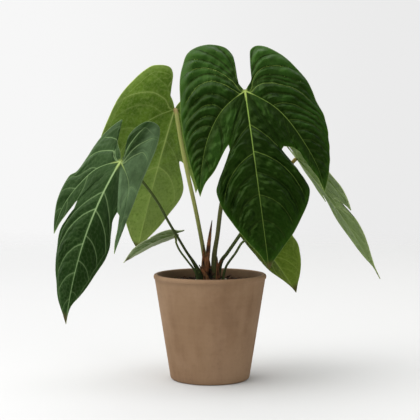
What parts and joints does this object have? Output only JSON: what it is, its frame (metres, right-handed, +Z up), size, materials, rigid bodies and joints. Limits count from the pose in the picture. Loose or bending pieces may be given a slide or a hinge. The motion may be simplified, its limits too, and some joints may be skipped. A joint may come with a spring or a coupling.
{
  "type": "potted anthurium plant",
  "caption": "Potted foliage plant with long-stalked, deeply lobed heart-shaped leaves in a plain tapered clay pot filled with bark mix.",
  "frame": {"origin": "on the pot's axis, on the flat underside of its foot", "axes": "+Z up along the pot's axis; -Y is the side that the largest leaf faces; +X to the right seen from that side"},
  "size_m": [0.4043, 0.199, 0.4111],
  "materials": {
    "pot": "matte",
    "potting_mix": "matte",
    "crown": "matte",
    "stem": "satin",
    "blade_front": "satin",
    "blade_back_left": "satin",
    "blade_left": "matte",
    "blade_right": "satin",
    "blade_low_right": "satin",
    "blade_small": "satin"
  },
  "bodies": {
    "root": {"pot": "pot", "potting_mix": "potting_mix", "crown": "crown", "stem_front": "stem", "stem_back_left": "stem", "stem_left": "stem", "stem_right": "stem", "stem_low_right": "stem", "stem_small": "stem", "blade_front": "blade_front", "blade_back_left": "blade_back_left", "blade_left": "blade_left", "blade_right": "blade_right", "blade_low_right": "blade_low_right", "blade_small": "blade_small"}
  },
  "joints": []
}
